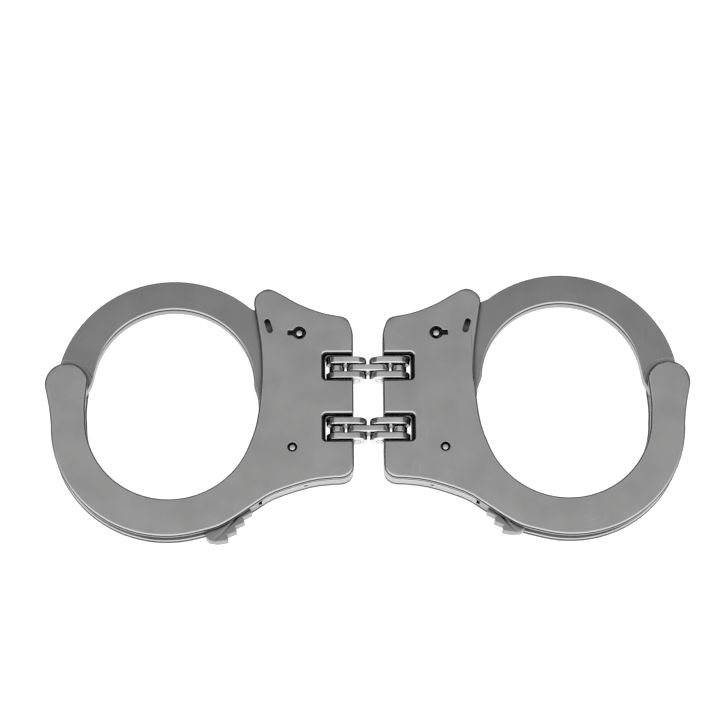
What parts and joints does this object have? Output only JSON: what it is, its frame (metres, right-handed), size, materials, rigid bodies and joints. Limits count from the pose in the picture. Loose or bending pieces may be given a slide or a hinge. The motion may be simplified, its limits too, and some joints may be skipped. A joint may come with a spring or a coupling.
{
  "type": "handcuffs",
  "caption": "Hinged metal handcuffs: wrist rings with swing-through toothed strands, keyed lock cases and rows of link plates that fold between them.",
  "frame": {"origin": "under the middle of the whole, on the surface that the cuffs lie on", "axes": "+X from one cuff to the other, +Y up the lock cases to the keyholes, +Z out of the front cheeks"},
  "size_m": [0.224, 0.0964, 0.01],
  "materials": {
    "satin_nickel": "satin nickel plate with fine brushing and light scratches",
    "bright_nickel": "tumbled bright nickel",
    "plain_steel": "ground steel",
    "spring_steel": "blued spring strip"
  },
  "bodies": {
    "left_cuff": {"left_front_cheek": "satin_nickel", "left_rear_cheek": "satin_nickel", "left_hinge_block": "satin_nickel", "left_upper_spacer": "satin_nickel", "left_lower_spacer": "satin_nickel", "left_pivot_rivet": "plain_steel", "left_pawl_rivet": "bright_nickel", "left_pawl_spring": "spring_steel", "left_key_post": "bright_nickel", "left_hinge_pin": "bright_nickel", "left_case_rivet_1": "plain_steel", "left_case_rivet_2": "plain_steel", "left_case_rivet_3": "plain_steel", "left_case_rivet_4": "plain_steel", "left_case_rivet_5": "plain_steel", "left_upper_roller": "bright_nickel", "left_lower_roller": "bright_nickel"},
    "left_strand": {"left_strand": "satin_nickel"},
    "left_pawl": {"left_pawl": "plain_steel"},
    "left_double_lock_bar": {"left_double_lock_bar": "plain_steel"},
    "left_links": {"left_upper_top_link": "bright_nickel", "left_upper_bottom_link": "bright_nickel", "left_upper_link_rivet": "bright_nickel", "left_lower_top_link": "bright_nickel", "left_lower_bottom_link": "bright_nickel", "left_lower_link_rivet": "bright_nickel"},
    "right_cuff": {"right_front_cheek": "satin_nickel", "right_rear_cheek": "satin_nickel", "right_hinge_block": "satin_nickel", "right_upper_spacer": "satin_nickel", "right_lower_spacer": "satin_nickel", "right_pivot_rivet": "plain_steel", "right_pawl_rivet": "bright_nickel", "right_pawl_spring": "spring_steel", "right_key_post": "bright_nickel", "right_hinge_pin": "bright_nickel", "right_case_rivet_1": "plain_steel", "right_case_rivet_2": "plain_steel", "right_case_rivet_3": "plain_steel", "right_case_rivet_4": "plain_steel", "right_case_rivet_5": "plain_steel", "right_upper_roller": "bright_nickel", "right_lower_roller": "bright_nickel"},
    "right_strand": {"right_strand": "satin_nickel"},
    "right_pawl": {"right_pawl": "plain_steel"},
    "right_double_lock_bar": {"right_double_lock_bar": "plain_steel"},
    "right_links": {"right_upper_top_link": "bright_nickel", "right_upper_bottom_link": "bright_nickel", "right_upper_link_rivet": "bright_nickel", "right_lower_top_link": "bright_nickel", "right_lower_bottom_link": "bright_nickel", "right_lower_link_rivet": "bright_nickel"},
    "centre_links": {"upper_centre_link": "bright_nickel", "lower_centre_link": "bright_nickel"}
  },
  "joints": [
    {"name": "left_cuff_hinge", "type": "hinge", "parent": "left_cuff", "child": "left_links", "pos_m": [-0.0108, 0, 0.005], "axis": [0, 1, 0], "range_deg": [-90, 90]},
    {"name": "left_link_hinge", "type": "hinge", "parent": "left_links", "child": "centre_links", "pos_m": [-0.0042, 0, 0.005], "axis": [0, -1, 0], "range_deg": [-90, 90]},
    {"name": "right_link_hinge", "type": "hinge", "parent": "centre_links", "child": "right_links", "pos_m": [0.0042, 0, 0.005], "axis": [0, 1, 0], "range_deg": [-90, 90]},
    {"name": "right_cuff_hinge", "type": "hinge", "parent": "right_links", "child": "right_cuff", "pos_m": [0.0108, 0, 0.005], "axis": [0, -1, 0], "range_deg": [-90, 90]},
    {"name": "left_strand_swing", "type": "hinge", "parent": "left_cuff", "child": "left_strand", "pos_m": [-0.1045, 0.00792, 0.005], "axis": [0, 0, -1], "continuous": true},
    {"name": "left_pawl_lift", "type": "hinge", "parent": "left_cuff", "child": "left_pawl", "pos_m": [-0.02634, -0.01553, 0.005], "axis": [0, 0, 1], "range_deg": [-4, 0], "stiffness_Nm_per_rad": 0.02, "springref_deg": 17.19},
    {"name": "left_double_lock_slide", "type": "slide", "parent": "left_cuff", "child": "left_double_lock_bar", "axis": [0, 1, 0], "range_m": [0, 0.003]},
    {"name": "right_strand_swing", "type": "hinge", "parent": "right_cuff", "child": "right_strand", "pos_m": [0.1045, 0.00792, 0.005], "axis": [0, 0, 1], "continuous": true},
    {"name": "right_pawl_lift", "type": "hinge", "parent": "right_cuff", "child": "right_pawl", "pos_m": [0.02634, -0.01553, 0.005], "axis": [0, 0, -1], "range_deg": [-4, 0], "stiffness_Nm_per_rad": 0.02, "springref_deg": 17.19},
    {"name": "right_double_lock_slide", "type": "slide", "parent": "right_cuff", "child": "right_double_lock_bar", "axis": [0, 1, 0], "range_m": [0, 0.003]}
  ]
}
